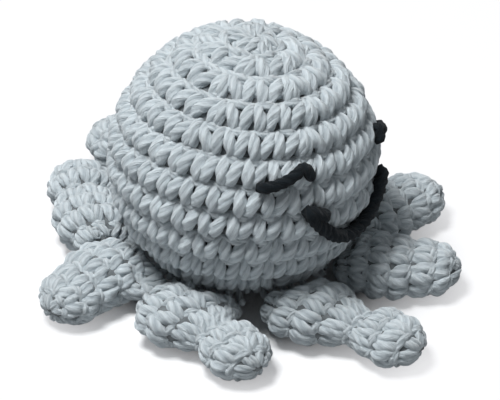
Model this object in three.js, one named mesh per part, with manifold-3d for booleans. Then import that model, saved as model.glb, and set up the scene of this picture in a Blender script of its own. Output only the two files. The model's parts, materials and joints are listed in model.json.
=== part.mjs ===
import * as THREE from 'three';
import { mergeVertices } from 'three/addons/utils/BufferGeometryUtils.js';
import Module from 'manifold-3d';

const wasm = await Module();
wasm.setup();

// Crocheted octopus toy: a stuffed ball with a sewn face and eight short stuffed arms.
// Millimetres, +Z up, the face looks along -Y, the toy stands on z = 0.

// Ball
const headDiameter = 45;
const headWall = 2.8;
const fitGap = 0.3;
const weldShare = 0.001;
const soleCut = 0.5;
const headRounds = 14;
const roundDepth = 1.6;
const roundStart = 0.35;
const ridgeFadeFrom = 145;
const ridgeFadeTo = 162;
const gatherRadius = 2.6;
const gatherNotch = 0.3;

// Pouch of catnip in the middle of the ball
const pouchDiameter = 18;
const pouchWall = 0.6;
const pouchNeckRadius = 2.2;
const pouchNeckLength = 4;
const pouchHemLength = 1.6;
const tieRadius = 0.7;

// Face, in black thread
const threadRadius = 0.8;
const eyeSpan = 7.6;
const eyeRise = 3.4;
const eyeBow = 0.7;
const eyeHookReach = 1.2;
const eyeHookDrop = 1.8;
const eyeAzimuth = 40;
const eyeLatitude = 20;
const mouthSpan = 22;
const mouthDrop = 6.8;
const mouthCornerLatitude = 5.5;
const headLean = 10;
const headLeanAzimuth = -10;
const leanEaseFrom = 100;
const leanEaseTo = 165;

// Arms: a flat root sewn to the ball, a pad, a knuckle and a toe
const armWall = 1.7;
const rootHeight = 4;
const rootThickness = 5;
const rootWidth = 11;
const rootSlot = 0.8;
const padReach = 8;
const padLength = 17;
const padWidth = 13.5;
const padThickness = 10.2;
const toeReach = 10;
const toeLength = 12;
const toeWidth = 11.5;
const toeThickness = 8.8;
const knuckleLength = 13;
const knuckleWidth = 9.6;
const knuckleThickness = 7;
const seamRadius = 0.8;
const seamLength = 8;
const armLift = 12;
const armDroop = 40;

// Each arm by the place of its root: how far its root is moved round the ball from an even eighth,
// how far its pad turns aside from straight out, how far the pad's length lies aside from straight
// out, how far its toe turns aside from the pad, all in degrees anticlockwise from above, and what
// share of its reach each lies out at
const firstArmAzimuth = 22.5;
const arms = [
  { name: 'right_back', rootTurn: 0, padTurn: -18, lie: -20, toeTurn: -3, padShare: 1, toeShare: 0.9 },
  { name: 'back_right', rootTurn: 0, padTurn: -5, lie: 8, toeTurn: 17, padShare: 1, toeShare: 1.15 },
  { name: 'back_left', rootTurn: 0, padTurn: -7, lie: -49, toeTurn: -56, padShare: 1, toeShare: 1.05 },
  { name: 'left_back', rootTurn: -2, padTurn: -32, lie: 6, toeTurn: 50, padShare: 0.95, toeShare: 0.65 },
  { name: 'left_front', rootTurn: -3, padTurn: -42, lie: 116, toeTurn: 101, padShare: 0.64, toeShare: 1.22 },
  { name: 'front_left', rootTurn: 0, padTurn: -2, lie: 58, toeTurn: 33, padShare: 0.52, toeShare: 1.4 },
  { name: 'front_right', rootTurn: 0, padTurn: 0, lie: 14, toeTurn: 14, padShare: 0.78, toeShare: 0.64 },
  { name: 'right_front', rootTurn: -5, padTurn: -23, lie: 3, toeTurn: 35, padShare: 0.68, toeShare: 0.82 },
];

// Counts of facets
const headSegments = 32;
const roundSteps = 4;
const innerSegments = 14;
const innerRings = 8;
const dishSegments = 20;
const lumpSegments = 12;
const lumpRings = 6;
const barSegments = 8;
const barEndRings = 2;
const fillSegments = 7;
const fillRings = 4;
const threadSides = 6;
const seamSteps = 4;
const eyeSteps = 8;
const mouthSteps = 12;
const gatherLobes = 6;

// Worked out from the sizes above
const headRadius = headDiameter / 2;
const headCentre = headRadius - soleCut;
const cavityRadius = headRadius - headWall;
const fillRadius = cavityRadius - fitGap;
const holeRadius = gatherRadius + fitGap;
const pouchRadius = pouchDiameter / 2;
const pouchHollow = pouchRadius + fitGap;
const neckHole = pouchNeckRadius + fitGap + 2 * tieRadius + fitGap;
const hingeFromCentre = headRadius + fitGap + rootThickness / 2;
const hingeReach = Math.sqrt(hingeFromCentre ** 2 - (headCentre - rootHeight) ** 2);
const ballMiddle = new THREE.Vector3(0, 0, headCentre);
const groundSpan = 4 * headDiameter;
const groundDepth = headDiameter;

const colours = {
  yarn: 0xaab6bb,
  filling: 0xf2f0ea,
  thread: 0x20282c,
  cloth: 0xe4dcc6,
  herb: 0x76804e,
};

function degrees(angle) {
  return THREE.MathUtils.degToRad(angle);
}

// A point beside the upright through the ball's centre, by compass angle
function around(azimuth, reach, height) {
  const turn = degrees(azimuth);
  return new THREE.Vector3(reach * Math.cos(turn), reach * Math.sin(turn), height);
}

// Solid for cutting and joining, from a closed three.js geometry
function solidFrom(geometry) {
  const bare = geometry.index ? geometry.toNonIndexed() : geometry.clone();
  bare.deleteAttribute('normal');
  bare.deleteAttribute('uv');
  const merged = mergeVertices(bare, fitGap * weldShare);
  const kept = [];
  const corners = merged.index.array;
  for (let i = 0; i < corners.length; i += 3) {
    const [a, b, c] = [corners[i], corners[i + 1], corners[i + 2]];
    if (a !== b && b !== c && c !== a) {
      kept.push(a, b, c);
    }
  }
  const mesh = new wasm.Mesh({
    numProp: 3,
    vertProperties: new Float32Array(merged.attributes.position.array),
    triVerts: new Uint32Array(turnedOut(merged.attributes.position, kept)),
  });
  return new wasm.Manifold(mesh);
}

// Corner order that makes the faces look outwards
function turnedOut(position, corners) {
  const [a, b, c] = [new THREE.Vector3(), new THREE.Vector3(), new THREE.Vector3()];
  let volume = 0;
  for (let i = 0; i < corners.length; i += 3) {
    a.fromBufferAttribute(position, corners[i]);
    b.fromBufferAttribute(position, corners[i + 1]);
    c.fromBufferAttribute(position, corners[i + 2]);
    volume += a.dot(b.cross(c));
  }
  return volume > 0 ? corners : corners.slice().reverse();
}

function geometryFrom(solid) {
  const mesh = solid.getMesh();
  const geometry = new THREE.BufferGeometry();
  const places = new Float32Array(mesh.numVert * 3);
  for (let i = 0; i < mesh.numVert; i += 1) {
    places.set(mesh.vertProperties.slice(i * mesh.numProp, i * mesh.numProp + 3), i * 3);
  }
  geometry.setAttribute('position', new THREE.BufferAttribute(places, 3));
  geometry.setIndex(new THREE.BufferAttribute(new Uint32Array(mesh.triVerts), 1));
  geometry.computeVertexNormals();
  return geometry;
}

function piece(name, solid, colour, roughness) {
  const material = new THREE.MeshStandardMaterial({ color: colour, roughness, metalness: 0 });
  const mesh = new THREE.Mesh(geometryFrom(solid), material);
  mesh.name = name;
  return mesh;
}

// Arc of a circle round a centre on the upright, from one polar angle to another, in radians
function arcPoints(radius, centre, from, to, steps) {
  const points = [];
  for (let i = 0; i <= steps; i += 1) {
    const angle = from + ((to - from) * i) / steps;
    points.push(new THREE.Vector2(radius * Math.sin(angle), centre + radius * Math.cos(angle)));
  }
  return points;
}

// Polar angle at which a circle round a centre on the upright comes to a reach below it
function polarAt(reach, radius) {
  return Math.PI - Math.asin(reach / radius);
}

function turned(profile, segments) {
  const onAxis = profile.map((p) => new THREE.Vector2(p.x < fitGap * weldShare ? 0 : p.x, p.y));
  const geometry = new THREE.LatheGeometry(onAxis, segments);
  geometry.rotateX(Math.PI / 2);
  return solidFrom(geometry);
}

// Slab under the height, to press soft forms flat
function slabBelow(height) {
  const box = new THREE.BoxGeometry(groundSpan, groundSpan, groundDepth);
  box.translate(0, 0, height - groundDepth / 2);
  return solidFrom(box);
}

// Share left of what fades out between two angles down from the crown, in degrees
function faded(angle, from, to) {
  return 1 - THREE.MathUtils.smoothstep(THREE.MathUtils.radToDeg(angle), from, to);
}

// Point of the ball's skin, by its round counted from the crown and its share of a turn clockwise.
// Rounds are ridges that climb in one spiral, and the ball leans from its crown to its waist
function onRounds(round, share) {
  const angle = (Math.PI * THREE.MathUtils.clamp(round, 0, headRounds)) / headRounds;
  const ridge = Math.sin(Math.PI * THREE.MathUtils.euclideanModulo(round - share + roundStart, 1));
  const reach = headRadius - roundDepth * (1 - ridge) * faded(angle, ridgeFadeFrom, ridgeFadeTo);
  const point = new THREE.Vector3().setFromSphericalCoords(reach, angle, -2 * Math.PI * share);
  point.applyAxisAngle(new THREE.Vector3(1, 0, 0), Math.PI / 2);
  const leanAxis = around(headLeanAzimuth + 90, 1, 0);
  return point.applyAxisAngle(leanAxis, degrees(headLean) * faded(angle, leanEaseFrom, leanEaseTo));
}

// Ball as a grid of rows that follow the spiral. Rows before the crown and past the foot close it
function roundsSolid() {
  const rows = Math.ceil((headRounds + 1 + roundStart) * roundSteps);
  const grid = new THREE.PlaneGeometry(1, 1, headSegments, rows);
  const places = grid.attributes.position;
  for (let i = 0; i <= rows; i += 1) {
    for (let j = 0; j <= headSegments; j += 1) {
      const share = j / headSegments;
      const point = onRounds(i / roundSteps + share - roundStart - 1, share).add(ballMiddle);
      places.setXYZ(i * (headSegments + 1) + j, point.x, point.y, point.z);
    }
  }
  return solidFrom(grid);
}

// Ball
function headShell() {
  const hollow = turned(
    [
      ...arcPoints(cavityRadius, headCentre, 0, polarAt(holeRadius, cavityRadius), innerRings),
      new THREE.Vector2(holeRadius, -soleCut),
      new THREE.Vector2(0, -soleCut),
    ],
    headSegments,
  );
  return roundsSolid().subtract(slabBelow(0)).subtract(hollow);
}

function headFilling() {
  const outer = arcPoints(fillRadius, headCentre, 0, polarAt(neckHole, fillRadius), innerRings);
  const inner = arcPoints(pouchHollow, headCentre, polarAt(neckHole, pouchHollow), 0, innerRings);
  return turned([...outer, ...inner], innerSegments);
}

const pouchFoot = headCentre - Math.sqrt(pouchRadius ** 2 - pouchNeckRadius ** 2);
const hemEnd = pouchFoot - pouchNeckLength;

// Cloth bag, its neck drawn in by the tie, with a short hem that opens below it
function catnipPouch() {
  const neckBore = pouchNeckRadius - pouchWall;
  const hollow = pouchRadius - pouchWall;
  const hemRadius = pouchNeckRadius + tieRadius;
  return turned(
    [
      ...arcPoints(pouchRadius, headCentre, 0, polarAt(pouchNeckRadius, pouchRadius), innerRings),
      new THREE.Vector2(pouchNeckRadius, hemEnd + pouchHemLength),
      new THREE.Vector2(hemRadius, hemEnd),
      new THREE.Vector2(hemRadius - pouchWall, hemEnd),
      new THREE.Vector2(neckBore, hemEnd + pouchHemLength),
      ...arcPoints(hollow, headCentre, polarAt(neckBore, hollow), 0, innerRings),
    ],
    innerSegments,
  );
}

function driedCatnip() {
  const radius = pouchRadius - pouchWall - fitGap;
  return turned(arcPoints(radius, headCentre, 0, Math.PI, innerRings), innerSegments);
}

// Yarn round the pouch's neck
function pouchTie() {
  const ring = new THREE.TorusGeometry(
    pouchNeckRadius + fitGap + tieRadius,
    tieRadius,
    threadSides,
    innerSegments,
  );
  ring.translate(0, 0, hemEnd + pouchHemLength + fitGap + tieRadius);
  return solidFrom(ring);
}

// Last wad of filling, pushed in under the pouch
function closingWad() {
  const radius = neckHole - fitGap;
  const under = arcPoints(fillRadius, headCentre, polarAt(radius, fillRadius), Math.PI, fillRings);
  const top = hemEnd - fitGap;
  return turned([new THREE.Vector2(0, top), new THREE.Vector2(radius, top), ...under], innerSegments);
}

// Yarn end drawn through the stitches of the last round: a rosette, flat underneath
function closingYarn() {
  const outline = new THREE.Shape();
  const steps = gatherLobes * 4;
  for (let i = 0; i < steps; i += 1) {
    const turn = (2 * Math.PI * i) / steps;
    const reach = gatherRadius - (gatherNotch / 2) * (1 - Math.cos(turn * gatherLobes));
    const [x, y] = [reach * Math.cos(turn), reach * Math.sin(turn)];
    if (i === 0) {
      outline.moveTo(x, y);
    } else {
      outline.lineTo(x, y);
    }
  }
  outline.closePath();
  const depth = headCentre - fillRadius - fitGap;
  return solidFrom(new THREE.ExtrudeGeometry(outline, { depth, bevelEnabled: false }));
}

// Point on the ball where thread lies: degrees round from the face's middle, degrees up from the
// ball's middle. The ball leans, crown and face with it
function onFace(side, latitude) {
  const radius = headRadius + fitGap + threadRadius;
  const rise = degrees(latitude);
  const point = around(side - 90, radius * Math.cos(rise), radius * Math.sin(rise));
  const leanAxis = around(headLeanAzimuth + 90, 1, 0);
  return point.applyAxisAngle(leanAxis, degrees(headLean)).add(ballMiddle);
}

// Length along the ball as an angle in degrees
function asAngle(length) {
  return THREE.MathUtils.radToDeg(length / headRadius);
}

function cordAlong(points, radius, steps) {
  const section = new THREE.Shape();
  for (let i = 0; i < threadSides; i += 1) {
    const turn = (2 * Math.PI * i) / threadSides;
    const [x, y] = [radius * Math.cos(turn), radius * Math.sin(turn)];
    if (i === 0) {
      section.moveTo(x, y);
    } else {
      section.lineTo(x, y);
    }
  }
  section.closePath();
  const extrudePath = new THREE.CatmullRomCurve3(points);
  return solidFrom(new THREE.ExtrudeGeometry(section, { steps, extrudePath, bevelEnabled: false }));
}

// Point of an eye, by lengths from its middle towards the face's middle and up
function onEye(side, inwards, up) {
  const turn = eyeAzimuth - asAngle(inwards) / Math.cos(degrees(eyeLatitude));
  return onFace(side * turn, eyeLatitude + asAngle(up));
}

// Closed eye: a long stitch that rises towards the face's middle and a short one down from its top
function eyeStitch(side) {
  const long = [];
  for (let i = 0; i <= eyeSteps; i += 1) {
    const along = i / eyeSteps - 1 / 2;
    long.push(onEye(side, along * eyeSpan, along * eyeRise - eyeBow * (1 - 4 * along ** 2)));
  }
  const top = eyeSpan / 2;
  const short = [
    onEye(side, top, eyeRise / 2),
    onEye(side, top + eyeHookReach, eyeRise / 2 - eyeHookDrop),
  ];
  return cordAlong(long, threadRadius, eyeSteps).add(cordAlong(short, threadRadius, 1));
}

function mouthStitch() {
  const points = [];
  for (let i = 0; i <= mouthSteps; i += 1) {
    const along = (i / mouthSteps - 1 / 2) * 2;
    const across = asAngle((along * mouthSpan) / 2);
    const down = asAngle(mouthDrop * (1 - along ** 2));
    points.push(onFace(across, mouthCornerLatitude - down));
  }
  return cordAlong(points, threadRadius, mouthSteps);
}

// Arms
function armPlaces(arm, index) {
  const azimuth = firstArmAzimuth + (360 / arms.length) * index + arm.rootTurn;
  const root = around(azimuth, hingeReach, rootHeight);
  const padHeading = azimuth + arm.padTurn;
  const padLie = azimuth + arm.lie;
  const toeHeading = padHeading + arm.toeTurn;
  const pad = around(padHeading, padReach * arm.padShare, 0).add(root);
  const toe = around(toeHeading, toeReach * arm.toeShare, 0).add(pad);
  pad.setZ(padThickness / 2 - soleCut);
  toe.setZ(toeThickness / 2 - soleCut);
  return { azimuth, root, padLie, toeHeading, pad, toe };
}

// Egg with three axes, lying along a compass heading, its skin drawn in by the inset
function lump(size, centre, heading, inset, segments, rings) {
  const egg = new THREE.SphereGeometry(1, segments, rings);
  egg.rotateX(Math.PI / 2);
  egg.scale(size.length / 2 - inset, size.width / 2 - inset, size.thickness / 2 - inset);
  egg.rotateZ(degrees(heading));
  egg.translate(centre.x, centre.y, centre.z);
  return solidFrom(egg);
}

const padSize = { length: padLength, width: padWidth, thickness: padThickness };
const toeSize = { length: toeLength, width: toeWidth, thickness: toeThickness };
const knuckleSize = { length: knuckleLength, width: knuckleWidth, thickness: knuckleThickness };

// The ball with its clearance, where the arm finds it when it is lifted by an angle
function ballAtLift(places, inset, lift) {
  const radius = (headRadius + fitGap + inset) / Math.cos(Math.PI / dishSegments);
  const ball = new THREE.SphereGeometry(radius, dishSegments, dishSegments / 2);
  const sideways = around(places.azimuth + 90, 1, 0);
  ball.rotateX(Math.PI / 2);
  ball.translate(-places.root.x, -places.root.y, headCentre - places.root.z);
  ball.applyMatrix4(new THREE.Matrix4().makeRotationAxis(sideways, degrees(lift)));
  ball.translate(places.root.x, places.root.y, places.root.z);
  return solidFrom(ball);
}

// Pad, knuckle and toe as one stuffed form, pressed flat underneath and dished where it beds
// against the ball, at rest and at both limits of its lift
function armForm(places, inset, segments, rings) {
  const knuckle = places.pad.clone().add(places.toe).divideScalar(2);
  return lump(padSize, places.pad, places.padLie, inset, segments, rings)
    .add(lump(knuckleSize, knuckle, places.toeHeading, inset, segments, rings))
    .add(lump(toeSize, places.toe, places.toeHeading, inset, segments, rings))
    .subtract(slabBelow(inset))
    .subtract(ballAtLift(places, inset, armLift))
    .subtract(ballAtLift(places, inset, 0))
    .subtract(ballAtLift(places, inset, -armDroop));
}

// Flat tongue between the root line and the pad, lying at the root's height
function tongue(places, width, thickness, back) {
  const half = width / 2;
  const pad = places.pad.clone().sub(places.root).setZ(0);
  pad.applyAxisAngle(new THREE.Vector3(0, 0, 1), -degrees(places.azimuth));
  const outline = new THREE.Shape();
  outline.moveTo(-back, -half);
  outline.lineTo(0, -half);
  outline.lineTo(pad.x, pad.y - half);
  outline.lineTo(pad.x, pad.y + half);
  outline.lineTo(0, half);
  outline.lineTo(-back, half);
  outline.closePath();
  const slab = new THREE.ExtrudeGeometry(outline, { depth: thickness, bevelEnabled: false });
  slab.translate(0, 0, -thickness / 2);
  slab.rotateZ(degrees(places.azimuth));
  slab.translate(places.root.x, places.root.y, places.root.z);
  return solidFrom(slab);
}

function rootBar(places) {
  const radius = rootThickness / 2;
  const bar = new THREE.CapsuleGeometry(radius, rootWidth - rootThickness, barEndRings, barSegments);
  bar.rotateZ(degrees(places.azimuth));
  bar.translate(places.root.x, places.root.y, places.root.z);
  return solidFrom(bar);
}

function armShell(places) {
  const outer = armForm(places, 0, lumpSegments, lumpRings)
    .add(tongue(places, rootWidth - rootThickness, rootThickness, 0))
    .add(rootBar(places));
  const hollow = armForm(places, armWall, fillSegments, fillRings);
  const slot = tongue(places, rootWidth - rootThickness - armWall, rootSlot, rootThickness);
  return outer.subtract(hollow).subtract(slot);
}

function armFilling(places) {
  return armForm(places, armWall + fitGap, fillSegments, fillRings);
}

// Sewing yarn along the underside of the root, in the nook between arm and ball
function armSeam(places) {
  const fromBall = headRadius + fitGap + seamRadius;
  const fromHinge = rootThickness / 2 + fitGap + seamRadius;
  const toCentre = Math.atan2(headCentre - rootHeight, -hingeReach);
  const nook = Math.acos(
    (hingeFromCentre ** 2 + fromHinge ** 2 - fromBall ** 2) / (2 * hingeFromCentre * fromHinge),
  );
  const reach = hingeReach + fromHinge * Math.cos(toCentre + nook);
  const height = rootHeight + fromHinge * Math.sin(toCentre + nook);
  const points = [];
  for (let i = 0; i <= seamSteps; i += 1) {
    const side = THREE.MathUtils.radToDeg(((i / seamSteps - 1 / 2) * seamLength) / reach);
    points.push(around(places.azimuth + side, reach, height));
  }
  return cordAlong(points, seamRadius, seamSteps);
}

const octopus = new THREE.Group();
octopus.add(
  piece('head_shell', headShell(), colours.yarn, 0.95),
  piece('head_filling', headFilling(), colours.filling, 1),
  piece('closing_wad', closingWad(), colours.filling, 1),
  piece('closing_yarn', closingYarn(), colours.yarn, 0.95),
  piece('catnip_pouch', catnipPouch(), colours.cloth, 0.9),
  piece('pouch_tie', pouchTie(), colours.yarn, 0.95),
  piece('dried_catnip', driedCatnip(), colours.herb, 1),
  piece('left_eye_stitch', eyeStitch(-1), colours.thread, 0.8),
  piece('right_eye_stitch', eyeStitch(1), colours.thread, 0.8),
  piece('mouth_stitch', mouthStitch(), colours.thread, 0.8),
);

arms.forEach((arm, index) => {
  const places = armPlaces(arm, index);
  const group = new THREE.Group();
  group.add(
    piece(`arm_${arm.name}_shell`, armShell(places), colours.yarn, 0.95),
    piece(`arm_${arm.name}_filling`, armFilling(places), colours.filling, 1),
    piece(`arm_${arm.name}_seam`, armSeam(places), colours.yarn, 0.95),
  );
  octopus.add(group);
});

export default octopus;
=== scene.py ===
import json
import math

import bpy
import numpy as np
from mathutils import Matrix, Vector


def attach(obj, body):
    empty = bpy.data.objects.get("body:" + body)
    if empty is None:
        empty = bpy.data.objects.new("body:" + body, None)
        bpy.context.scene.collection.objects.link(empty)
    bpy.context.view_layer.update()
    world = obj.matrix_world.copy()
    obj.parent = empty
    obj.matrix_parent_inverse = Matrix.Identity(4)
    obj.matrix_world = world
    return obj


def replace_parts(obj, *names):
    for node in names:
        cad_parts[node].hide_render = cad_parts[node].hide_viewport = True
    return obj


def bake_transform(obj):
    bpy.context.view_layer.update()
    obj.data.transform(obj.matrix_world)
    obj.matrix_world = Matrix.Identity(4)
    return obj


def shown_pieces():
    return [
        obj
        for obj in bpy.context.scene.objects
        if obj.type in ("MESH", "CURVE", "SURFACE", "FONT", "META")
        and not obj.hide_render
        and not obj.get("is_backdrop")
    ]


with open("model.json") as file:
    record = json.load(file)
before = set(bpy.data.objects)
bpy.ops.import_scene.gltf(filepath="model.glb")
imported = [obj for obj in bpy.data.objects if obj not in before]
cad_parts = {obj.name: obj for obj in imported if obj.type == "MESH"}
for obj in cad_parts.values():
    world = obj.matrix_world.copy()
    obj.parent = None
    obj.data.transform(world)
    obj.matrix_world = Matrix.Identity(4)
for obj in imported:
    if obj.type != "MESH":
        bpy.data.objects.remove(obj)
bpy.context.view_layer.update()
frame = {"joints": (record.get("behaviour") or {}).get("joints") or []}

bl_info = {
    "name": "Crocheted Octopus",
    "version": (1, 0, 0),
    "blender": (4, 5, 0),
    "location": "View3D > Sidebar > Octopus",
    "description": "Crochets a small stuffed octopus toy, stitch by stitch, on its packed frame",
    "category": "Add Mesh",
}

MM = 0.001
FLOOR = 0.0

# Height from which a stuffed form is pressed softly flat onto the floor
PRESS = 0.6 * MM

# Stitches in each round of the ball, from the crown down, and of an arm, from the toe to the root
BALL_ROUNDS = (6, 12, 18, 24, 30, 30, 30, 30, 30, 30, 24, 18, 12, 6)
ARM_ROUNDS = (6, 8, 8, 8, 9, 9, 6)
ROOT_ROUNDS = (7, 7)

# How each arm lies: the turn aside to its pad, of the pad's length and on to its toe, in degrees,
# and the shares of the pad's and the toe's reach
ARM_LIES = {
    "right_back": (-18, -20, -3, 1, 0.9),
    "back_right": (-5, 8, 17, 1, 1.15),
    "back_left": (-7, -49, -56, 1, 1.05),
    "left_back": (-32, 6, 50, 0.95, 0.65),
    "left_front": (-42, 116, 101, 0.64, 1.22),
    "front_left": (-2, 58, 33, 0.52, 1.4),
    "front_right": (0, 14, 14, 0.78, 0.64),
    "right_front": (-23, 3, 35, 0.68, 0.82),
}


def length(name, description, default):
    """A size in metres, shown in the scene's unit of length."""
    return bpy.props.FloatProperty(
        name=name, description=description, default=default,
        min=0, subtype="DISTANCE", unit="LENGTH", precision=5,
    )


def angle(name, description, default):
    """An angle given in degrees."""
    return bpy.props.FloatProperty(
        name=name, description=description, default=math.radians(default), subtype="ANGLE", unit="ROTATION"
    )


def share(name, description, default):
    """A plain number, most often a share of something else."""
    return bpy.props.FloatProperty(name=name, description=description, default=default, precision=3)


def whole(name, description, default):
    """A whole number of like things."""
    return bpy.props.IntProperty(name=name, description=description, default=default, min=1)


def colour(name, description, default):
    """A colour given by its 0 to 255 values on screen."""
    linear = [((c / 255 + 0.055) / 1.055) ** 2.4 for c in default]
    return bpy.props.FloatVectorProperty(
        name=name, description=description, default=linear, size=3, min=0, max=1, subtype="COLOR"
    )


class OctopusYarn(bpy.types.PropertyGroup):
    """The yarn that the toy is crocheted from"""

    width: length("Yarn width", "Diameter of the yarn as it lies in a stitch", 2.3 * MM)
    loop_width: length("Loop width", "Diameter of the yarn in the loops between rounds", 1.6 * MM)
    dive: length("Dive", "How far a leg's ends dip below its middle, on the ball", 1.9 * MM)
    arm_dive: length("Arm dive", "How far a leg's ends dip below its middle, on an arm", 1.3 * MM)
    loop_depth: length("Loop depth", "How far the loops between rounds lie below the ball's skin", 1.3 * MM)
    arm_loop_depth: length("Arm loop depth", "The same below an arm's skin", 0.85 * MM)
    plies: whole("Plies", "Strands twisted into the yarn", 4)
    twist: length("Twist", "Length of yarn over which its plies turn once", 8.5 * MM)
    ply_depth: share("Ply depth", "Depth of the grooves between plies, as a share of the radius", 0.19)
    slant: share("Slant", "How far each round leans on the one before, in stitches", 0.16)
    sheen: share("Sheen", "Pale glow of the yarn's loose fibres", 0.45)
    colour: colour("Yarn colour", "Grey cotton", (209, 219, 224))
    # The groove colour is painted shade: darker grey laid where the plies meet, in place of the shade that
    # falls there
    groove: colour("Groove colour", "Grey cotton between the plies", (140, 154, 163))


class OctopusBall(bpy.types.PropertyGroup):
    """The stuffed ball"""

    diameter: length("Diameter", "Across the outside of the stitches", 45 * MM)
    wall: length("Wall", "Thickness of the crocheted cover", 2.8 * MM)
    backing: length("Backing", "How far below the skin the cover's close inside begins", 2.1 * MM)
    sole: length("Sole", "How much of the ball is pressed flat where it stands", 0.5 * MM)
    lean: angle("Lean", "How far the crown leans aside", 10)
    lean_towards: angle("Lean towards", "Compass direction of the lean, from +X towards +Y", -10)
    unevenness: length("Unevenness", "Height of the soft lumps left by the filling", 0.35 * MM)
    lump_size: length("Lump size", "How broad those lumps are", 7 * MM)
    drawn_in: share("Drawn in", "How much of the last round the closing yarn draws in", 0.5)


class OctopusFace(bpy.types.PropertyGroup):
    """The face of black thread"""

    eye_thread: length("Eye thread", "Diameter of the black thread of the eyes", 2.1 * MM)
    mouth_thread: length("Mouth thread", "Diameter of the doubled thread of the smile", 2.5 * MM)
    proud: length("Proud", "Height of the thread's middle above the stitches", 0.4 * MM)
    eye_side: angle("Eye side", "Turn from the face's middle to an eye", 40)
    eye_height: angle("Eye height", "Latitude of the eyes on the ball", 20)
    eye_span: length("Eye span", "From an eye's outer end across to its top", 7.6 * MM)
    eye_rise: length("Eye rise", "From an eye's outer end up to its top", 3.4 * MM)
    eye_bow: length("Eye bow", "How far the long stitch bows below its line", 0.7 * MM)
    eye_hook: length("Eye hook", "From an eye's top down to its inner end", 1.8 * MM)
    eye_hook_reach: length("Eye hook reach", "From an eye's top across to its inner end", 1.2 * MM)
    mouth_span: length("Mouth span", "Between the corners, along the ball", 22 * MM)
    mouth_drop: length("Mouth drop", "From the corners down to the middle", 6.8 * MM)
    mouth_height: angle("Mouth height", "Latitude of the mouth's corners", 5.5)
    knot: length("Knot", "Length of the stitch that thickens the smile's left corner", 3.8 * MM)
    knot_drop: length("Knot drop", "How far that stitch falls from the corner", 1.4 * MM)
    mouth_stitches: whole("Mouth stitches", "Backstitches in the smile", 5)
    plies: whole("Plies", "Strands twisted into the black thread", 3)
    twist: length("Twist", "Length of thread over which its plies turn once", 4.2 * MM)
    ply_depth: share("Ply depth", "Depth of the grooves between plies, as a share of the radius", 0.2)
    sheen: share("Sheen", "Pale glow of the thread's loose fibres", 0.05)
    colour: colour("Thread colour", "Black cotton", (24, 31, 36))
    # The groove colour is painted shade: darker black laid where the plies meet, in place of the shade that
    # falls there
    groove: colour("Groove colour", "Black cotton between the plies", (8, 11, 14))


class OctopusArms(bpy.types.PropertyGroup):
    """The eight stuffed arms"""

    root_width: length("Root width", "Width of the pinched end that is sewn to the ball", 11 * MM)
    root_thickness: length("Root thickness", "Thickness of the pinched end", 5 * MM)
    pad_reach: length("Pad reach", "From the root's line to the pad's middle", 8 * MM)
    pad_length: length("Pad length", "Length of the pad", 17 * MM)
    pad_width: length("Pad width", "Width of the pad", 13.5 * MM)
    pad_thickness: length("Pad thickness", "Thickness of the pad", 10.2 * MM)
    toe_reach: length("Toe reach", "From the pad's middle to the toe's middle", 10 * MM)
    toe_length: length("Toe length", "Length of the toe", 12 * MM)
    toe_width: length("Toe width", "Width of the toe", 11.5 * MM)
    toe_thickness: length("Toe thickness", "Thickness of the toe", 8.8 * MM)
    knuckle_length: length("Knuckle length", "Length of the neck between pad and toe", 13 * MM)
    knuckle_width: length("Knuckle width", "Width of the neck between pad and toe", 9 * MM)
    knuckle_thickness: length("Knuckle thickness", "Thickness of the neck between pad and toe", 6.6 * MM)
    crease: length("Crease", "How softly pad, knuckle and toe run into one another", 0.45 * MM)
    plump: length("Plump", "How far the yarn swells beyond the cover's middle form", 0.12 * MM)
    wall: length("Wall", "Thickness of the crocheted cover", 1.7 * MM)
    backing: length("Backing", "How far below the skin the cover's close inside begins", 1.2 * MM)
    root_backing: length("Root backing", "The same at the pinched root", 1.4 * MM)
    unevenness: length("Unevenness", "Height of the soft lumps left by the filling", 0.22 * MM)
    lump_size: length("Lump size", "How broad those lumps are", 3.1 * MM)
    ball_gap: length("Gap to the ball", "Room between an arm and the ball, at every lift", 0.15 * MM)
    arm_gap: length("Gap to an arm", "Room between an arm and the next, at every lift", 0.6 * MM)
    seam_thread: length("Seam thread", "Diameter of the yarn of the whip stitches", 1.2 * MM)


class OctopusInside(bpy.types.PropertyGroup):
    """What the ball holds"""

    filling: colour("Filling colour", "Polyester filling", (242, 240, 234))
    cloth: colour("Cloth colour", "Unbleached cotton of the pouch", (228, 220, 198))
    herb: colour("Herb colour", "Dried catnip leaf", (118, 128, 78))
    pouch: length("Pouch", "Diameter of the catnip pouch", 18 * MM)
    cloth_wall: length("Cloth", "Thickness of the pouch's cloth", 0.6 * MM)
    neck: length("Neck", "Radius of the pouch's gathered neck", 2.2 * MM)
    neck_length: length("Neck length", "From the foot of the pouch to the end of its hem", 4 * MM)
    tie: length("Tie", "Radius of the coil of yarn round the neck", 0.7 * MM)
    gap: length("Gap", "Room between one thing inside and the next", 0.3 * MM)


class OctopusStage(bpy.types.PropertyGroup):
    """Camera, floor and light"""

    azimuth: angle("Azimuth", "The photograph's direction of view", -54)
    elevation: angle("Elevation", "The photograph's height of view", 35)
    lens: bpy.props.FloatProperty(
        name="Lens", description="Focal length in millimetres", default=450, subtype="DISTANCE_CAMERA"
    )
    margin: share("Margin", "Size of the picture, as a multiple of the toy's in it", 1.1)
    key: bpy.props.FloatProperty(
        name="Key light", description="Power of the soft key light", default=4.0, unit="POWER"
    )
    key_place: bpy.props.FloatVectorProperty(
        name="Key place", description="Where the soft key light hangs",
        default=(-0.13, 0.11, 0.58), size=3, subtype="TRANSLATION", unit="LENGTH",
    )
    key_size: length("Key size", "Width of the soft key light", 0.2)
    sky: share("Sky", "Strength of the light from all round", 0.22)


# Shader maths

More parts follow.
